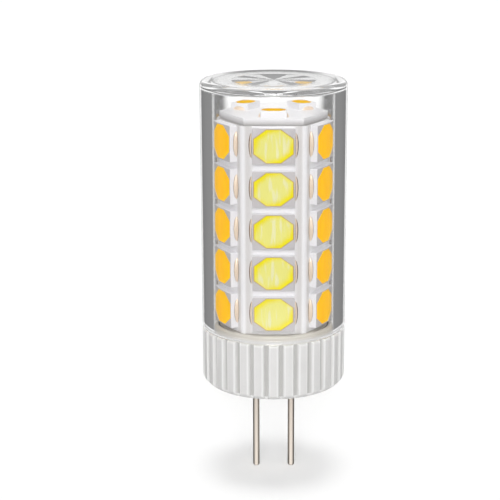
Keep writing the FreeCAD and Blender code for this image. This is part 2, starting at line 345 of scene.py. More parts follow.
# %% Clear polycarbonate: how a trapped ray ends
most_bounces = 2.5
short_bounce = 2.4 * mm
long_bounce = 3.4 * mm
path = add_node(tree, "ShaderNodeLightPath")
trapped = add_node(tree, "ShaderNodeMath", {"operation": "GREATER_THAN", 1: most_bounces},
                   {0: path.outputs["Glossy Depth"]})
ended = add_node(tree, "ShaderNodeMapRange",
                 {"From Min": short_bounce, "From Max": long_bounce, "To Min": 0.28, "To Max": 1.2},
                 {"Value": path.outputs["Ray Length"]})
# Painted light: a trapped ray ends in a glow from the cover, grey after a short last bounce and white after
# a long one.
light = add_node(tree, "ShaderNodeEmission", {"Color": colour("#FFFFFF")}, {"Strength": ended.outputs[0]})
ending = add_node(tree, "ShaderNodeMixShader", {},
                  {0: trapped.outputs[0], 1: shader.outputs[0], 2: light.outputs[0]})
tree.links.new(ending.outputs[0], tree.nodes["Material Output"].inputs["Surface"])
print("a ray is trapped after", math.ceil(most_bounces), "bounces")

# %% [markdown]
# ## White solder mask
# The strips and boards are coated with white solder mask, a glossy lacquer. It is nearly
# white, with the slight orange peel that a screen-printed coat leaves. A painted shade greys the
# margins beside the LEDs and stops short of the seams, which stay white. The seams lie midway
# between the six faces, so the turn about the axis, folded at each seam, says where the margins
# are. A painted shade also greys the top board's sides down to its seat on the strips. The driver
# board at the foot has the same coat in a darker cream, painted darker as shade round the
# column's foot.

# %% Painted shade on the strips and the top board
seam_turn = math.radians(30)
margin_start = {"From Min": math.radians(20), "From Max": math.radians(24)}
margin_stop = {"From Min": math.radians(28.2), "From Max": math.radians(26.4)}
board_low, board_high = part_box("top_board")
strips_end = board_low.z - 0.01 * mm
seat_shade = {"From Min": board_high.z - 0.1 * mm, "From Max": board_low.z}


def shade_beside_leds(tree, axes):
    """How much painted shade a strip gets at its turn about the lamp's axis, and 0 above the strips."""
    turn = add_node(tree, "ShaderNodeMath", {"operation": "ARCTAN2"},
                    {0: axes.outputs["X"], 1: axes.outputs["Y"]})
    fold = add_node(tree, "ShaderNodeMath", {"operation": "PINGPONG", 1: seam_turn}, {0: turn.outputs[0]})
    start = add_node(tree, "ShaderNodeMapRange", margin_start, {"Value": fold.outputs[0]})
    stop = add_node(tree, "ShaderNodeMapRange", margin_stop, {"Value": fold.outputs[0]})
    beside = add_node(tree, "ShaderNodeMath", {"operation": "MULTIPLY"},
                      {0: start.outputs[0], 1: stop.outputs[0]})
    on_strip = add_node(tree, "ShaderNodeMath", {"operation": "LESS_THAN", 1: strips_end},
                        {0: axes.outputs["Z"]})
    return add_node(tree, "ShaderNodeMath", {"operation": "MULTIPLY"},
                    {0: beside.outputs[0], 1: on_strip.outputs[0]})


def shade_at_seat(tree, axes):
    """How much painted shade the top board gets, from its top edge down to its seat on the strips."""
    on_board = add_node(tree, "ShaderNodeMath", {"operation": "GREATER_THAN", 1: strips_end},
                        {0: axes.outputs["Z"]})
    above = add_node(tree, "ShaderNodeMapRange", seat_shade, {"Value": axes.outputs["Z"]})
    return add_node(tree, "ShaderNodeMath", {"operation": "MULTIPLY"},
                    {0: on_board.outputs[0], 1: above.outputs[0]})


print("margins begin", round(math.degrees(seam_turn - margin_start["From Min"])), "degrees from a seam")

# %% White solder mask
def screen_printed_mask(name, dark, light, margin_shade, joint_shade):
    material, tree, shader = new_material(name)
    place = add_node(tree, "ShaderNodeTexCoord")
    peel_size = 0.6 * mm
    peel = add_node(tree, "ShaderNodeTexNoise", {"Scale": per_metre(peel_size), "Detail": 2.0},
                    {"Vector": place.outputs["Object"]})
    coat = add_node(tree, "ShaderNodeMix", {"data_type": "RGBA", 6: colour(dark), 7: colour(light)},
                    {0: peel.outputs["Fac"]})
    axes = add_node(tree, "ShaderNodeSeparateXYZ", {}, {0: place.outputs["Object"]})
    # Painted shade: the strips' margins and the top board's sides are painted greyer.
    strip_coat = add_node(tree, "ShaderNodeMix", {"data_type": "RGBA", 7: colour(margin_shade)},
                          {0: shade_beside_leds(tree, axes).outputs[0], 6: coat.outputs[2]})
    paint = add_node(tree, "ShaderNodeMix", {"data_type": "RGBA", 7: colour(joint_shade)},
                     {0: shade_at_seat(tree, axes).outputs[0], 6: strip_coat.outputs[2]})
    bump = add_node(tree, "ShaderNodeBump", {"Strength": 0.08, "Distance": 0.02 * mm},
                    {"Height": peel.outputs["Fac"]})
    tree.links.new(paint.outputs[2], shader.inputs["Base Color"])
    tree.links.new(bump.outputs[0], shader.inputs["Normal"])
    # Lacquer over laminate looks white and a little glossy.
    shader.inputs["Roughness"].default_value = 0.3
    shader.inputs["IOR"].default_value = 1.5
    return material


solder_mask = screen_printed_mask("white_solder_mask", "#F3F2F4", "#FBFAFB", "#DEDBDA", "#B8B5B4")
# The driver board's darker cream is painted shade round the column's foot.
cream_mask = screen_printed_mask("cream_solder_mask", "#A9A39A", "#B4AEA5", "#A9A39A", "#A9A39A")
print("made", solder_mask.name, cream_mask.name)

# %% [markdown]
# ## LED package plastic
# An LED package is moulded from a filled nylon around its lead frame. The face round the cup
# is a lilac grey. The walls below it are the same nylon with a painted light that makes them
# paler. Both have a fine moulded grain.

# %% LED package plastic
def package_plastic(name, dark, light):
    material, tree, shader = new_material(name)
    place = add_node(tree, "ShaderNodeTexCoord")
    grain_size = 0.2 * mm
    grain = add_node(tree, "ShaderNodeTexNoise", {"Scale": per_metre(grain_size), "Detail": 3.0},
                     {"Vector": place.outputs["Object"]})
    paint = add_node(tree, "ShaderNodeMix", {"data_type": "RGBA", 6: colour(dark), 7: colour(light)},
                     {0: grain.outputs["Fac"]})
    bump = add_node(tree, "ShaderNodeBump", {"Strength": 0.06, "Distance": 0.01 * mm},
                    {"Height": grain.outputs["Fac"]})
    tree.links.new(paint.outputs[2], shader.inputs["Base Color"])
    tree.links.new(bump.outputs[0], shader.inputs["Normal"])
    # Glass-filled nylon is half matt, so its small faces stay even.
    shader.inputs["Roughness"].default_value = 0.4
    shader.inputs["IOR"].default_value = 1.53
    return material


# The face and the walls are one nylon; the walls' paler tone is painted light.
package_face = package_plastic("nylon_package_face", "#C6C1C3", "#CFCBCC")
lit_package_wall = package_plastic("painted_light_package_wall", "#F1EFF2", "#F8F7F9")
print("made", package_face.name, lit_package_wall.name)

# %% [markdown]
# ## Phosphor silicone
# The cup is filled with silicone full of phosphor powder. The fill is painted palest in the
# middle and most saturated at the rim, a painted light on its dished face, with faint upright
# streaks from the dispensing needle. The mesh carries a value that rises from the middle to the
# rim, and the strips' own coordinates give the streaks. The lemon fill on the strips facing front
# and back, the orange fill on the other strips and the amber fill on the top board are copies of
# one phosphor, lit and shaded by paint, and the glow is a painted light, strongest on the orange
# fill. On the front LEDs a thin film that climbs the cup's wall shows as a tan line round the fill.

# %% Phosphor silicone
def phosphor_silicone(name, pale, deep, streaked, rim_start, glow):
    material, tree, shader = new_material(name)
    place = add_node(tree, "ShaderNodeTexCoord")
    rim = add_node(tree, "ShaderNodeAttribute", {"attribute_name": "rim"})
    streak_width = 0.45 * mm
    streak_squeeze = 0.15
    powder_size = 0.18 * mm
    squeeze = add_node(tree, "ShaderNodeMapping", {"Scale": (1.0, streak_squeeze, 1.0)},
                       {"Vector": place.outputs["Object"]})
    streak = add_node(tree, "ShaderNodeTexNoise", {"Scale": per_metre(streak_width), "Detail": 1.0},
                      {"Vector": squeeze.outputs[0]})
    powder = add_node(tree, "ShaderNodeTexNoise", {"Scale": per_metre(powder_size), "Detail": 2.0},
                      {"Vector": place.outputs["Object"]})
    lines = add_node(tree, "ShaderNodeMapRange",
                     {"interpolation_type": "SMOOTHSTEP", "From Min": 0.48, "From Max": 0.62},
                     {"Value": streak.outputs["Fac"]})
    middle = add_node(tree, "ShaderNodeMix", {"data_type": "RGBA", 6: colour(pale), 7: colour(streaked)},
                      {0: lines.outputs[0]})
    depth = add_node(tree, "ShaderNodeMapRange",
                     {"interpolation_type": "SMOOTHSTEP", "From Min": rim_start, "From Max": 1.0},
                     {"Value": rim.outputs["Fac"]})
    paint = add_node(tree, "ShaderNodeMix", {"data_type": "RGBA", 7: colour(deep)},
                     {0: depth.outputs[0], 6: middle.outputs[2]})
    bump = add_node(tree, "ShaderNodeBump", {"Strength": 0.1, "Distance": 0.01 * mm},
                    {"Height": powder.outputs["Fac"]})
    tree.links.new(paint.outputs[2], shader.inputs["Base Color"])
    tree.links.new(paint.outputs[2], shader.inputs["Emission Color"])
    tree.links.new(bump.outputs[0], shader.inputs["Normal"])
    # Powder in silicone is matt and deep in colour, with hardly any highlight.
    shader.inputs["Emission Strength"].default_value = glow
    shader.inputs["Roughness"].default_value = 0.6
    shader.inputs["Specular IOR Level"].default_value = 0.05
    shader.inputs["IOR"].default_value = 1.41
    return material


# One phosphor in three painted copies for the light each face gets; the glow is painted light.
lemon_phosphor = phosphor_silicone("lemon_phosphor_silicone", "#F0EB86", "#F6E71A", "#F0EDB6", 0.58, 0.0)
orange_phosphor = phosphor_silicone("orange_phosphor_silicone", "#FCBE00", "#FFC60C", "#FAB800", 0.85, 0.36)
amber_phosphor = phosphor_silicone("amber_phosphor_silicone", "#F3C00C", "#EBB406", "#EFBA08", 0.5, 0.06)
meniscus = phosphor_silicone("thin_phosphor_meniscus", "#D2B488", "#C9A97A", "#D8BE98", 0.5, 0.0)
print("made", lemon_phosphor.name, orange_phosphor.name, amber_phosphor.name, meniscus.name)

# %% [markdown]
# ## Tinned terminals
# Each package stands on two metal ends. The flat of a terminal is warm, bright tin over
# copper. A thin dark brown line where it meets the package and the board is a painted contact
# shadow.

# %% Tinned terminals
def terminal_metal(name, dark, light, metallic, roughness):
    material, tree, shader = new_material(name)
    place = add_node(tree, "ShaderNodeTexCoord")
    blot_size = 0.3 * mm
    blots = add_node(tree, "ShaderNodeTexNoise", {"Scale": per_metre(blot_size), "Detail": 2.0},
                     {"Vector": place.outputs["Object"]})
    paint = add_node(tree, "ShaderNodeMix", {"data_type": "RGBA", 6: colour(dark), 7: colour(light)},
                     {0: blots.outputs["Fac"]})
    tree.links.new(paint.outputs[2], shader.inputs["Base Color"])
    # Tin gives a warm blurred shine, and the painted contact shadow stays dark.
    shader.inputs["Metallic"].default_value = metallic
    shader.inputs["Roughness"].default_value = roughness
    return material


tin = terminal_metal("tinned_copper", "#F6DDC2", "#FFEFDC", 0.3, 0.4)
# Painted contact shadow: a dark brown line where a terminal meets its package and the board.
contact_shadow = terminal_metal("painted_contact_shadow", "#5A4030", "#77563F", 0.3, 0.55)
print("made", tin.name, contact_shadow.name)

# %% [markdown]
# ## Driver part finishes
# The small parts under the driver board are out of sight, but anyone who opens the lamp sees
# them: moulded black epoxy, sintered ferrite, tan capacitor ceramic and a resistor's film.
# Each is a grain between two close tones at that material's own grit.

# %% Driver part finishes
def part_finish(name, dark, light, grit, roughness):
    material, tree, shader = new_material(name)
    place = add_node(tree, "ShaderNodeTexCoord")
    grains = add_node(tree, "ShaderNodeTexNoise", {"Scale": per_metre(grit), "Detail": 3.0},
                      {"Vector": place.outputs["Object"]})
    paint = add_node(tree, "ShaderNodeMix", {"data_type": "RGBA", 6: colour(dark), 7: colour(light)},
                     {0: grains.outputs["Fac"]})
    tree.links.new(paint.outputs[2], shader.inputs["Base Color"])
    # The grit breaks the highlight up, more on ferrite than on a film.
    shader.inputs["Roughness"].default_value = roughness
    return material


epoxy = part_finish("moulded_black_epoxy", "#1C1C1E", "#2A2A2C", 0.15 * mm, 0.5)
ferrite = part_finish("sintered_ferrite", "#33312F", "#4A4744", 0.2 * mm, 0.6)
capacitor_clay = part_finish("tan_capacitor_clay", "#A98F6E", "#BBA27F", 0.2 * mm, 0.45)
resistor_film = part_finish("dark_resistor_film", "#22262C", "#2F343B", 0.1 * mm, 0.35)
print("made", epoxy.name, ferrite.name, capacitor_clay.name, resistor_film.name)

# %% [markdown]
# ## Ribbed base
# The real base is pressed in a die: about thirty upright ribs, with soft edges because sharp
# ceramic chips. A turned profile gives the heights, and one function pulls the outer wall in
# at each groove, so the ribs fade out in the bevels at both ends as they do on the real one.

# %% Sizes of the base
base_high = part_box("ceramic_base")[1]
cover_low, cover_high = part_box("clear_cover")
lamp_radius = cover_high.x
base_top = cover_low.z
# The ribs end just under the cover's rim.
rib_top = base_top - 0.02 * mm
rib_count = 30
groove_depth = 0.45 * mm
groove_half_width = 0.12 * mm
groove_shoulder = 0.28 * mm
bottom_bevel = 0.5 * mm
spigot_radius = 6.62 * mm
pocket_radius = 6.12 * mm
cavity_radius = 5.72 * mm
base_floor = 1.8 * mm
board_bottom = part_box("driver_board")[0].z
print("base", round(base_high.z / mm, 2), "mm high with", rib_count, "ribs")

# %% Grooves between the ribs
off_ribs = 1.0
on_spigot = 2.0


def groove_distance(angle):
    """How far round the wall the nearest groove's middle is."""
    pitch = 2 * math.pi / rib_count
    return abs((angle + pitch / 2) % pitch - pitch / 2) * lamp_radius


def groove(angle):
    """1 in the middle of a groove, 0 on a rib, with a soft shoulder between."""
    share = (groove_half_width + groove_shoulder - groove_distance(angle)) / groove_shoulder
    share = min(max(share, 0.0), 1.0)
    return share * share * (3 - 2 * share)


def ribbed_loop(radius, height, segments):
    """A loop of the base, with each point's distance from a groove in mm, or its mark off the ribs."""
    points = []
    distances = []
    plain = on_spigot if height > base_top else off_ribs
    for k in range(segments):
        angle = 2 * math.pi * k / segments
        here = min(radius, lamp_radius - groove_depth * groove(angle))
        points.append((here * math.cos(angle), here * math.sin(angle), height))
        distances.append(groove_distance(angle) / mm if radius > lamp_radius - groove_depth else plain)
    return points, distances


print("ribs every", round(2 * math.pi * lamp_radius / rib_count / mm, 2), "mm")

# %% Ribbed blank
foot_round = 0.15 * mm
bevel_round = 0.3 * mm
shoulder_round = 0.25 * mm
mouth_round = 0.1 * mm
floor_round = 0.3 * mm
points_per_rib = 32
base_profile = rounded([
    (0.0, 0.0, 0.0), (lamp_radius - bottom_bevel, 0.0, foot_round),
    (lamp_radius, bottom_bevel, bevel_round), (lamp_radius, rib_top, shoulder_round),
    (spigot_radius, rib_top, 0.0), (spigot_radius, base_high.z, shoulder_round),
    (pocket_radius, base_high.z, mouth_round), (pocket_radius, board_bottom, 0.0),
    (cavity_radius, board_bottom, 0.0), (cavity_radius, base_floor, floor_round), (0.0, base_floor, 0.0),
], 6)
base_loops = []
base_distances = []
for radius, height in base_profile:
    points, distances = [(0.0, 0.0, height)], [off_ribs]
    if radius > on_axis:
        points, distances = ribbed_loop(radius, height, rib_count * points_per_rib)
    base_loops.append(points)
    base_distances += distances
base_mesh = skin("ribbed_blank", base_loops)
base_mesh.attributes.new("groove_distance", "FLOAT", "POINT").data.foreach_set("value", base_distances)
print("blank of", len(base_loops), "loops")

# %% Pin holes
pin_low, pin_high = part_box("contact_pin_right")
pin_place = (pin_low.x + pin_high.x) / 2
hole_radius = 0.525 * mm
hole_sides = 48
past_floor = 1.0 * mm
hole_profile = [(0.0, -past_floor), (hole_radius, -past_floor),
                (hole_radius, base_floor + past_floor), (0.0, base_floor + past_floor)]
# Turned by half a side, so that no corner of the cutter lies on an edge of the base.
half_side = Matrix.Rotation(math.pi / hole_sides, 4, "Z")
for name, side in (("one_hole_base", -1), ("ribbed_base", 1)):
    hole = skin("pin_hole", turned_loops(hole_profile, hole_sides))
    hole.transform(Matrix.Translation((side * pin_place, 0, 0)) @ half_side)
    base_mesh = combined(name, base_mesh, hole, "DIFFERENCE")
base = piece(base_mesh, "ceramic_base", [steatite], 40)
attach(base, "root")
print("base faces", len(base.data.polygons))

# %% [markdown]
# ## Contact pins
# A pin is a straight wire whose tip is rounded so that it finds the holder's hole. Two flat ears
# above the base's floor keep it from being pulled out. A turned profile makes the wire, and a
# small block joined to it makes the ears.

# %% Contact pins
pin_radius = 0.375 * mm
root_radius = 0.475 * mm
tip_round = 0.25 * mm
root_round = 0.05 * mm
end_round = 0.1 * mm
ear_depth = 0.25 * mm
ear_edge = 0.05 * mm
ear_top = base_floor + 0.6 * mm
pin_sides = 64
for side in ("left", "right"):
    pin_low, pin_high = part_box("contact_pin_" + side)
    pin_x = (pin_low.x + pin_high.x) / 2
    pin_profile = rounded([
        (0.0, pin_low.z, 0.0), (pin_radius, pin_low.z, tip_round), (pin_radius, 0.0, 0.0),
        (root_radius, 0.0, 0.0), (root_radius, base_floor, root_round), (pin_radius, base_floor, 0.0),
        (pin_radius, pin_high.z, end_round), (0.0, pin_high.z, 0.0),
    ], 8)
    wire = skin("wire_" + side, turned_loops(pin_profile, pin_sides, pin_x))
    ear_reach = (pin_high.x - pin_low.x) / 2
    ears = skin("ears_" + side, [
        [(0.0, 0.0, base_floor)],
        octagon(ear_reach, ear_depth, ear_edge, ear_edge, base_floor),
        octagon(ear_reach, ear_depth, ear_edge, ear_edge, ear_top - ear_edge),
        octagon(ear_reach - ear_edge, ear_depth - ear_edge, ear_edge, ear_edge, ear_top),
        [(0.0, 0.0, ear_top)],
    ])
    ears.transform(Matrix.Translation((pin_x, 0, 0)))
    pin_mesh = combined("nickel_pin_" + side, wire, ears, "UNION")
    pin = piece(pin_mesh, "contact_pin_" + side, [nickel])
    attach(pin, "root")
    print("pin at", round(pin_x / mm, 2), "mm")

# %% [markdown]
# ## Clear cover
# The cover is a cup with its mouth down. Its outer top edge is rounded, and a fan of sixteen
# flat facets is moulded into the underside of its top, where it breaks up the light. The
# inside is turned like the outside up to the fan, and the fan's points lie on straight chords
# so that its facets come out flat.

# %% Fan of facets
wall = 1.3 * mm
top_wall = 0.8 * mm
top_round = 0.6 * mm
ceiling_round = 0.3 * mm
rim_round = 0.3 * mm
mouth_edge = 0.1 * mm
star_margin = 1.8 * mm
star_depth = 0.3 * mm
facet_count = 16
points_per_facet = 18
cover_segments = facet_count * points_per_facet
inner_radius = lamp_radius - wall
ceiling = cover_high.z - top_wall
star_radius = inner_radius - ceiling_round - star_margin


def star_point(turn, share):
    """A point of the fan at a turn about the axis, with share 0 at its middle and 1 at its rim."""
    step = 2 * math.pi / facet_count
    start = -math.pi / 2
    number = int((turn - start) // step)
    middle_turn = start + (number + 0.5) * step
    along = 0.5 + math.tan(turn - middle_turn) / math.tan(step / 2) / 2
    lift_near = star_depth if number % 2 else 0.0
    lift_far = star_depth - lift_near
    rim_lift = lift_near + (lift_far - lift_near) * along
    radius = star_radius * math.cos(step / 2) / math.cos(turn - middle_turn)
    lift = star_depth / 2 + (rim_lift - star_depth / 2) * share
    return (radius * share * math.cos(turn), radius * share * math.sin(turn), ceiling + lift)


print("fan", round(2 * star_radius / mm, 2), "mm across with", facet_count, "facets")

# %% Clear cover
cover_outline = rounded([
    (0.0, cover_high.z, 0.0), (lamp_radius, cover_high.z, top_round),
    (lamp_radius, base_top, rim_round), (inner_radius, base_top, mouth_edge),
    (inner_radius, ceiling, ceiling_round), (star_radius, ceiling, 0.0),
], 24)
cover_loops = turned_loops(cover_outline, cover_segments)
# The fan's points start where the turned loops do, a hair past the edges between its facets.
past_edge = 0.001
turns = [2 * math.pi * (k + past_edge) / cover_segments - math.pi / 2 for k in range(cover_segments)]
quarter = cover_segments // 4
turns = turns[quarter:] + turns[:quarter]
for share in (1.0, 0.66, 0.33):
    cover_loops.append([star_point(turn, share) for turn in turns])
cover_loops.append([(0.0, 0.0, ceiling + star_depth / 2)])
cover = piece(skin("clear_cup", cover_loops), "clear_cover", [polycarbonate], 5)
cover.visible_shadow = False
cover.visible_diffuse = False
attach(cover, "root")
print("cover faces", len(cover.data.polygons))

# %% [markdown]
# ## LED packages
# All the LEDs of a strip are alike, so one package is drawn flat on its back and an Array
# modifier repeats it up the strip. The package, its fill and its terminals are separate
# pieces with separate finishes. A package is an eight-sided loop lofted up its walls, over
# its rim and down into the cup.

# %% A package
edge_round = 0.07 * mm
cup_wall = 0.12 * mm
cup_depth = 0.45 * mm


def package_mesh(name, width, length, height, cut_across, cut_along):
    x = width / 2
    y = length / 2
    loops = [
        [(0.0, 0.0, 0.0)],
        octagon(x, y, edge_round, edge_round, 0.0),
        octagon(x, y, edge_round, edge_round, height - edge_round),
        octagon(x - edge_round / 3, y - edge_round / 3, edge_round, edge_round, height - edge_round / 3),
        octagon(x - edge_round, y - edge_round, edge_round, edge_round, height),
        octagon(x - cup_wall, y - cup_wall, cut_across, cut_along, height),
        octagon(x - cup_wall, y - cup_wall, cut_across, cut_along, height - cup_depth),
        [(0.0, 0.0, height - cup_depth)],
    ]
    return skin(name, loops, [1, 1, 1, 0, 0, 0, 0])


print("cups", round(cup_depth / mm, 2), "mm deep")

# %% Its phosphor fill
fill_drop = 0.05 * mm
fill_dip = 0.02 * mm
fill_rings = (1.0, 0.955, 0.9, 0.75, 0.5, 0.25)
rim_lean = 0.35


def fill_mesh(name, width, length, height, cut_across, cut_along):
    """A dished fill whose points carry a value that rises to the rim, more to two of its corners."""
    x = width / 2 - cup_wall
    y = length / 2 - cup_wall
    bottom = height - cup_depth
    level = height - fill_drop
    loops = [[(0.0, 0.0, bottom)], octagon(x, y, cut_across, cut_along, bottom)]
    for share in fill_rings:
        dip = fill_dip * (1 - share ** 4)
        loops.append(octagon(x * share, y * share, cut_across * share, cut_along * share, level - dip))
    loops.append([(0.0, 0.0, level - fill_dip)])
    mesh = skin(name, loops, [1, 1, 1, 0, 0, 0, 0, 0])
    values = []
    for point in mesh.vertices:
        across = point.co.x / x
        along = point.co.y / y
        values.append(max(abs(across), abs(along)) - rim_lean * across * along)
    mesh.attributes.new("rim", "FLOAT", "POINT").data.foreach_set("value", values)
    return mesh


print("fills", round((cup_depth - fill_drop) / mm, 2), "mm thick")

# %% One terminal
terminal_thickness = 0.35 * mm
shadow_line_width = 0.08 * mm
off_package = 0.002 * mm
off_board = 0.005 * mm
dome_lift = 0.01 * mm
end_swell = 0.02
stations = 16
arc_steps = 8


def terminal_mesh(name, width, length, reach):
    """A quarter dome against the package, with a painted contact shadow line where it meets package and
    board.
    """
    rows = []
    for k in range(arc_steps + 3):
        tilt = math.pi / 2 * min(k, arc_steps) / arc_steps
        row = []
        for j in range(stations + 1):
            along = 2 * j / stations - 1
            swell = math.sqrt(1 - along ** 2) if abs(along) < 1 else end_swell
            out = (reach - shadow_line_width) * swell * math.sin(tilt) + off_package
            up = terminal_thickness * swell * math.cos(tilt) + dome_lift
            if k > arc_steps:
                out = reach * swell if k == arc_steps + 1 else off_package
                up = off_board
            row.append((width / 2 + out, along * length / 2, up))
        rows.append(row)
    return wrapped_skin(name, rows, [1] + [0] * (arc_steps - 1) + [1, 0, 0])


print("terminals", round(terminal_thickness / mm, 2), "mm thick")

# %% LEDs on the strips
strip_count = 6
row_count = 5
lemon_strips = (1, 4)
led_length = 3.9 * mm
corner_across = 1.28 * mm
corner_along = 1.0 * mm
terminal_length = 2.75 * mm
housing_low, housing_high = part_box("led_housings_strip_1")
terminal_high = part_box("led_terminals_strip_1")[1]
led_width = housing_high.x - housing_low.x
led_height = housing_high.y - housing_low.y
row_pitch = (housing_high.z - housing_low.z - led_length) / (row_count - 1)
first_row = housing_low.z + led_length / 2
terminal_reach = terminal_high.x - housing_high.x
strip_package = (led_width, led_length, led_height, corner_across, corner_along)


def strip_place(number):
    """Local X runs across a strip, Y up along it and Z outward, from the middle of its first LED."""
    around = Matrix.Rotation((number - 1) * 2 * math.pi / strip_count, 4, "Z")
    outward = Matrix.Translation((0, housing_high.y, first_row))
    return around @ outward @ Matrix.Rotation(math.pi / 2, 4, "X")


def up_the_strip(thing, number):
    """Repeats an LED's piece up its strip."""
    rows = thing.modifiers.new("rows", "ARRAY")
    rows.count = row_count
    rows.use_relative_offset = False
    rows.use_constant_offset = True
    rows.constant_offset_displace = (0, row_pitch, 0)
    thing.matrix_world = strip_place(number)
    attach(thing, "root")


for number in range(1, strip_count + 1):
    tail = "_strip_" + str(number)
    shown = [lemon_phosphor, meniscus] if number in lemon_strips else [orange_phosphor, orange_phosphor]
    package = piece(package_mesh("packages" + tail, *strip_package), "led_housings" + tail,
                    [package_face, lit_package_wall])
    up_the_strip(package, number)
    fill = piece(fill_mesh("phosphor_fills" + tail, *strip_package), "led_phosphors" + tail,
                 shown)
    up_the_strip(fill, number)
    terminal = piece(terminal_mesh("terminals" + tail, led_width, terminal_length, terminal_reach),
                     "led_terminals" + tail, [tin, contact_shadow])
    terminal.modifiers.new("both sides", "MIRROR")
    up_the_strip(terminal, number)
print("LED", round(led_width / mm, 2), "wide, rows every", round(row_pitch / mm, 2), "mm")

# %% LEDs on the top board
top_count = 3
top_length = 2.2 * mm
top_corner = 0.6 * mm
top_terminal_length = 1.5 * mm
top_low, top_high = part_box("led_housings_top")
top_width = 2.7 * mm
top_reach = 0.25 * mm
top_centre = -top_low.y - top_length / 2
top_package = (top_width, top_length, top_high.z - top_low.z, top_corner, top_corner)


def copies(name, single, places):
    """One mesh from copies of another, one at each place."""
    joined = bmesh.new()
    for place in places:
        copy = single.copy()
        copy.transform(place)
        joined.from_mesh(copy)
    mesh = bpy.data.meshes.new(name)
    joined.to_mesh(mesh)
    joined.free()
    return mesh


half_turn = Matrix.Rotation(math.pi, 4, "Z")
outward = Matrix.Translation((0, -top_centre, top_low.z))
top_turns = [Matrix.Rotation(k * 2 * math.pi / top_count, 4, "Z") for k in range(top_count)]
top_places = [around @ outward @ half_turn for around in top_turns]
one_terminal = terminal_mesh("one_top_terminal", top_width, top_terminal_length, top_reach)
top_parts = [
    (package_mesh("top_package", *top_package), "led_housings_top", "led_plastic",
     [lit_package_wall, lit_package_wall]),
    (fill_mesh("top_fill", *top_package), "led_phosphors_top", "phosphor_top",
     [amber_phosphor, amber_phosphor]),
    (copies("top_terminal", one_terminal, [Matrix.Identity(4), half_turn]), "led_terminals_top",
     "terminal_metal", [tin, tin]),
]
for single, node, slot, materials in top_parts:
    thing = piece(copies(single.name + "s", single, top_places), node, materials)
    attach(thing, "root")
print("top LEDs at", round(top_centre / mm, 2), "mm from the axis")

# %% [markdown]
# ## Boards and driver parts
# The strips, the two boards and the driver parts keep their solids. A cut board has a fine
# broken edge that catches the light, so each gets a small Bevel after a Weld has joined the
# solid's faces, and a Weighted Normal to keep the flats flat.

# %% Boards and driver parts
strip_bevel = 0.08 * mm
top_bevel = 0.1 * mm
board_bevel = 0.05 * mm
part_bevel = 0.03 * mm
weld_gap = 0.001 * mm
driver_parts = {
    "bridge_rectifier": epoxy, "driver_ic": epoxy, "freewheel_diode": epoxy, "inductor": ferrite,
    "input_capacitor": capacitor_clay, "output_capacitor": capacitor_clay, "sense_resistor": resistor_film,
}


def dress(node, material, bevel):
    """Gives a node of the frame its finish and its broken edges."""
    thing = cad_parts[node]
    thing.data.materials.clear()
    thing.data.materials.append(material)
    thing.modifiers.new("join", "WELD").merge_threshold = weld_gap
    edge = thing.modifiers.new("edge", "BEVEL")
    edge.width = bevel
    edge.segments = 2
    edge.angle_limit = math.radians(30)
    thing.modifiers.new("flats", "WEIGHTED_NORMAL")


for number in range(1, strip_count + 1):
    dress("led_strip_" + str(number), solder_mask, strip_bevel)
dress("top_board", solder_mask, top_bevel)
dress("driver_board", cream_mask, board_bevel)
for node, material in driver_parts.items():
    dress(node, material, part_bevel)
print("dressed", strip_count + 2, "boards and", len(driver_parts), "driver parts")

# %% [markdown]
# ## Seam beads
# Where two strips meet, a thin bead of white adhesive fills the seam, so the column's corners
# look closed and soft. Each bead is a slim rod with rounded ends, set just inside the corner.

# %% Seam beads
strip_low, strip_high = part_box("led_strip_1")
face = -strip_low.y
bead_radius = 0.15 * mm
bead_round = 0.1 * mm
bead_sides = 16
# A bead's middle lies 1.3 of its radius inside the corner, and its foot clears the driver board.
bead_place = face / math.cos(math.pi / strip_count) - 1.3 * bead_radius
bead_foot = strip_low.z + 1.02 * mm
bead_head = strip_high.z - 0.02 * mm
bead_profile = rounded([
    (0.0, bead_foot, 0.0), (bead_radius, bead_foot, bead_round),
    (bead_radius, bead_head, bead_round), (0.0, bead_head, 0.0),
], 4)
for number in range(1, strip_count + 1):
    bead_mesh = skin("seam_bead_" + str(number), turned_loops(bead_profile, bead_sides, bead_place))
    bead_mesh.transform(Matrix.Rotation(number * 2 * math.pi / strip_count, 4, "Z"))
    bead_mesh.shade_smooth()
    bead_mesh.materials.append(solder_mask)
    bead = bpy.data.objects.new(bead_mesh.name, bead_mesh)
    bpy.context.scene.collection.objects.link(bead)
    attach(bead, "root")
print("beads", strip_count, "at", round(bead_place / mm, 2), "mm")

# %% [markdown]
# ## Floor and light
# The lamp stands on a white sweep between softboxes. Area lamps could stand for them, but suns
# with a wide angle light the sweep evenly: one in front, one on each side, two low ones behind
# for the far side, and one overhead that drops the shadow under the base. Those behind and
# overhead light the lamp without glare in the clear cover. The camera sees the sweep as white,
# with the lamp's shadow on it.

# %% Floor
floor_size = 1.5
floor_corners = [(-1, -1), (1, -1), (1, 1), (-1, 1)]
floor_points = [(x * floor_size, y * floor_size, cad_low.z) for x, y in floor_corners]
floor_mesh = bpy.data.meshes.new("floor")
floor_mesh.from_pydata(floor_points, [], [(0, 1, 2, 3)])
floor = bpy.data.objects.new("floor", floor_mesh)
bpy.context.scene.collection.objects.link(floor)
paper, tree, shader = new_material("white_paper")
place = add_node(tree, "ShaderNodeTexCoord")
fibre_size = 2.0 * mm
floor_glow = 0.3
fibre = add_node(tree, "ShaderNodeTexNoise", {"Scale": per_metre(fibre_size)},
                 {"Vector": place.outputs["Object"]})
paint = add_node(tree, "ShaderNodeMix", {"data_type": "RGBA", 6: colour("#DBDBDB"), 7: colour("#DFDFDF")},
                 {0: fibre.outputs["Fac"]})
path = add_node(tree, "ShaderNodeLightPath")
glow = add_node(tree, "ShaderNodeMath", {"operation": "MULTIPLY", 1: floor_glow},
                {0: path.outputs["Is Camera Ray"]})
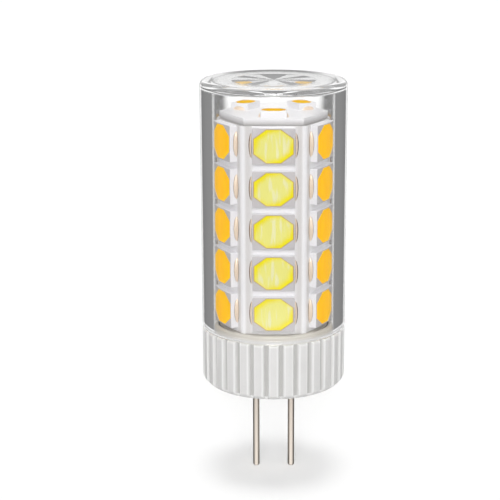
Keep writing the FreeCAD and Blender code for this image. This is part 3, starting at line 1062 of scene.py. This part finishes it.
tree.links.new(paint.outputs[2], shader.inputs["Base Color"])
tree.links.new(glow.outputs[0], shader.inputs["Emission Strength"])
# Matt paper takes the shadow and gives no highlight.
shader.inputs["Emission Color"].default_value = colour("#FFFFFF")
shader.inputs["Roughness"].default_value = 0.9
shader.inputs["Specular IOR Level"].default_value = 0.0
floor_mesh.materials.append(paper)
floor.visible_glossy = False
floor.visible_transmission = False
print("floor at", round(cad_low.z / mm, 2), "mm")

# %% Suns
def sun(name, height_degrees, turn_degrees, strength, angle_degrees, mirrored):
    """A sun at a height above the floor, turned about the lamp from straight in front of it."""
    data = bpy.data.lights.new(name, "SUN")
    data.energy = strength
    data.angle = math.radians(angle_degrees)
    lamp = bpy.data.objects.new(name, data)
    lamp.rotation_euler = (math.radians(90 - height_degrees), 0, math.radians(turn_degrees))
    lamp.visible_glossy = mirrored
    lamp.visible_transmission = mirrored
    bpy.context.scene.collection.objects.link(lamp)


sun("front_softbox", 26, 0, 1.54, 30, True)
for name, side in (("left", -1), ("right", 1)):
    sun(name + "_softbox", 18, side * 54, 0.34, 40, True)
    sun("rear_" + name + "_softbox", 8, side * 154, 0.92, 30, False)
sun("overhead_softbox", 90, 0, 1.35, 30, False)
print("softboxes", len(bpy.data.lights))

# %% [markdown]
# ## Studio for plastic and metal
# Clear plastic and metal show only what is around them, so for them the world has white panels
# and grey gaps, and what a ray meets depends on how it left the cover. Straight through, it
# meets the panels. Turned once inside the wall, it meets a slit of light in dark grey, which
# draws the grey bands at the cover's sides. Guided along the top, it ends in white. Reflections
# meet a sky that brightens upward, a strip on each side behind the lamp, and the pale sweep
# before it. To the camera the world is plain white.

# %% Panels seen straight through the cover
world = bpy.data.worlds.new("white_studio")
bpy.context.scene.world = world
world.use_nodes = True
tree = world.node_tree
place = add_node(tree, "ShaderNodeTexCoord")
axes = add_node(tree, "ShaderNodeSeparateXYZ", {}, {0: place.outputs["Generated"]})
path = add_node(tree, "ShaderNodeLightPath")
panel_turn = math.pi / 8
panel_edge = {"interpolation_type": "SMOOTHSTEP", "From Min": math.radians(10), "From Max": math.radians(16),
              "To Min": 1.2, "To Max": 0.22}
turn = add_node(tree, "ShaderNodeMath", {"operation": "ARCTAN2"},
                {0: axes.outputs["X"], 1: axes.outputs["Y"]})
fold = add_node(tree, "ShaderNodeMath", {"operation": "PINGPONG", 1: panel_turn}, {0: turn.outputs[0]})
panels = add_node(tree, "ShaderNodeMapRange", panel_edge, {"Value": fold.outputs[0]})
print("panels every", round(math.degrees(2 * panel_turn)), "degrees")

# %% Slit and white seen by rays turned inside the wall
slit_edge = {"interpolation_type": "SMOOTHSTEP", "From Min": math.radians(5), "From Max": math.radians(9),
             "To Min": 1.4, "To Max": 0.29}
guided_level = 1.2
aside = add_node(tree, "ShaderNodeMath", {"operation": "ABSOLUTE"}, {0: turn.outputs[0]})
slit = add_node(tree, "ShaderNodeMapRange", slit_edge, {"Value": aside.outputs[0]})
once = add_node(tree, "ShaderNodeMath", {"operation": "GREATER_THAN", 1: 0.5},
                {0: path.outputs["Glossy Depth"]})
twice = add_node(tree, "ShaderNodeMath", {"operation": "GREATER_THAN", 1: 1.5},
                 {0: path.outputs["Glossy Depth"]})
bent = add_node(tree, "ShaderNodeMix", {}, {0: once.outputs[0], 2: panels.outputs[0], 3: slit.outputs[0]})
through = add_node(tree, "ShaderNodeMix", {3: guided_level}, {0: twice.outputs[0], 2: bent.outputs[0]})
print("slit", round(math.degrees(2 * slit_edge["From Min"])), "degrees wide")

# %% Sky, strips and sweep seen in reflections
sky_rise = {"interpolation_type": "SMOOTHSTEP", "From Min": 0.0, "From Max": 0.28,
            "To Min": 0.05, "To Max": 1.0}
strip_inside = {"From Min": math.radians(11), "From Max": math.radians(15), "To Min": 0.05}
strip_outside = {"From Min": math.radians(30), "From Max": math.radians(25)}
sweep_edge = {"interpolation_type": "SMOOTHSTEP", "From Min": -0.29, "From Max": -0.35}
sweep_front = {"interpolation_type": "SMOOTHSTEP", "From Min": 0.0, "From Max": -0.75,
               "To Min": 0.06, "To Max": 1.2}
underfoot = {"interpolation_type": "SMOOTHSTEP", "From Min": -0.8, "From Max": -0.95, "To Max": 0.8}
sky = add_node(tree, "ShaderNodeMapRange", sky_rise, {"Value": axes.outputs["Z"]})
inner = add_node(tree, "ShaderNodeMapRange", strip_inside, {"Value": aside.outputs[0]})
outer = add_node(tree, "ShaderNodeMapRange", strip_outside, {"Value": aside.outputs[0]})
behind = add_node(tree, "ShaderNodeMath", {"operation": "MULTIPLY"},
                  {0: inner.outputs[0], 1: outer.outputs[0]})
below = add_node(tree, "ShaderNodeMapRange", sweep_edge, {"Value": axes.outputs["Z"]})
before = add_node(tree, "ShaderNodeMapRange", sweep_front, {"Value": axes.outputs["Y"]})
ground = add_node(tree, "ShaderNodeMath", {"operation": "MULTIPLY"},
                  {0: below.outputs[0], 1: before.outputs[0]})
deep = add_node(tree, "ShaderNodeMapRange", underfoot, {"Value": axes.outputs["Z"]})
mirror = sky
for source in (deep, behind, ground):
    mirror = add_node(tree, "ShaderNodeMath", {"operation": "MAXIMUM"},
                      {0: mirror.outputs[0], 1: source.outputs[0]})
print("strips", round(math.degrees(strip_outside["From Min"] - strip_inside["From Min"])), "degrees wide")

# %% What each kind of ray meets
fill_level = 0.24
seen = add_node(tree, "ShaderNodeMix", {2: fill_level, 3: 1.0}, {0: path.outputs["Is Camera Ray"]})
shiny = add_node(tree, "ShaderNodeMix", {},
                 {0: path.outputs["Is Glossy Ray"], 2: seen.outputs[0], 3: mirror.outputs[0]})
clear = add_node(tree, "ShaderNodeMix", {},
                 {0: path.outputs["Is Transmission Ray"], 2: shiny.outputs[0], 3: through.outputs[0]})
background = tree.nodes["Background"]
background.inputs["Color"].default_value = colour("#FFFFFF")
tree.links.new(clear.outputs[0], background.inputs["Strength"])
print("fill light at", fill_level)

# %% [markdown]
# ## Camera
# The photograph was taken from a little above the lamp's top with a long lens. The camera
# stands on the lamp's front, tilted down, and a small shift puts the lamp right of the middle.

# %% Camera
camera_back = 149.2 * mm
camera_height = 55.3 * mm
camera_tilt = 15.16
frame_width = 500
axis_right_of_middle = 23.6
view = bpy.data.cameras.new("camera")
view.lens = 99.8
view.sensor_width = 36
view.shift_x = -axis_right_of_middle / frame_width
view.clip_start = 5 * mm
camera = bpy.data.objects.new("camera", view)
camera.location = (0, -camera_back, camera_height)
camera.rotation_euler = (math.radians(90 - camera_tilt), 0, 0)
bpy.context.scene.collection.objects.link(camera)
bpy.context.scene.camera = camera
bpy.context.scene.view_settings.view_transform = "Standard"
print("camera", round(camera_back / mm, 1), "mm in front, tilted down", camera_tilt, "degrees")
